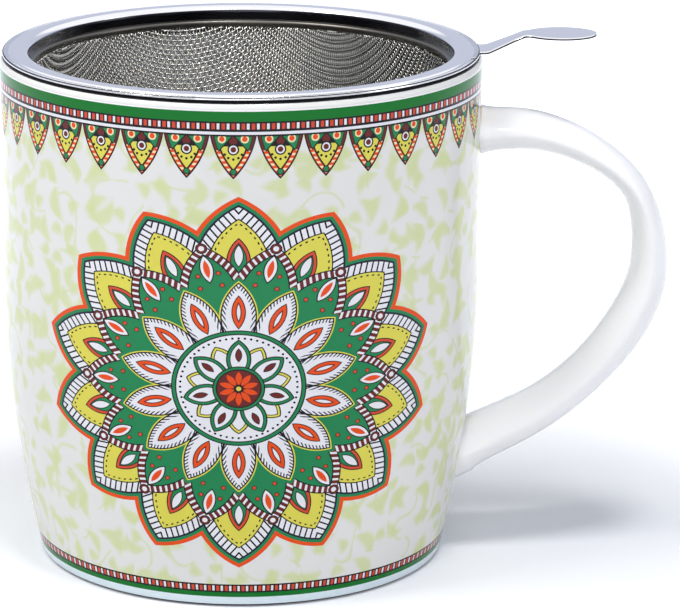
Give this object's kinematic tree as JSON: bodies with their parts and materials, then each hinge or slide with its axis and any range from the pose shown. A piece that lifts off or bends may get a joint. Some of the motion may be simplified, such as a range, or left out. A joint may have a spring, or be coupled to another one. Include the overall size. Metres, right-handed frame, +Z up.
{
  "type": "tea mug with infuser",
  "caption": "Barrel-shaped ceramic tea mug with a D-shaped strap handle and a lift-out steel strainer cup hung by its flange on the lip, with a thumb tab over the handle.",
  "frame": {"origin": "centre of the mug's foot ring, on the surface it stands on", "axes": "+Z up along the mug's axis, +X towards the handle and the thumb tab"},
  "size_m": [0.1216, 0.087, 0.0962],
  "materials": {
    "glazed_body": "glossy glaze over printed decoration",
    "glazed_handle": "glossy clear glaze on white china",
    "polished_steel": "polished",
    "tab_steel": "polished",
    "woven_wire": "bright woven wire"
  },
  "bodies": {
    "mug": {"mug_body": "glazed_body", "mug_handle": "glazed_handle"},
    "infuser": {"infuser_rim": "polished_steel", "infuser_tab": "tab_steel", "mesh_basket": "woven_wire"}
  },
  "joints": [
    {"name": "infuser_lift", "type": "slide", "parent": "mug", "child": "infuser", "axis": [0, 0, 1], "range_m": [0, 0.07]}
  ]
}
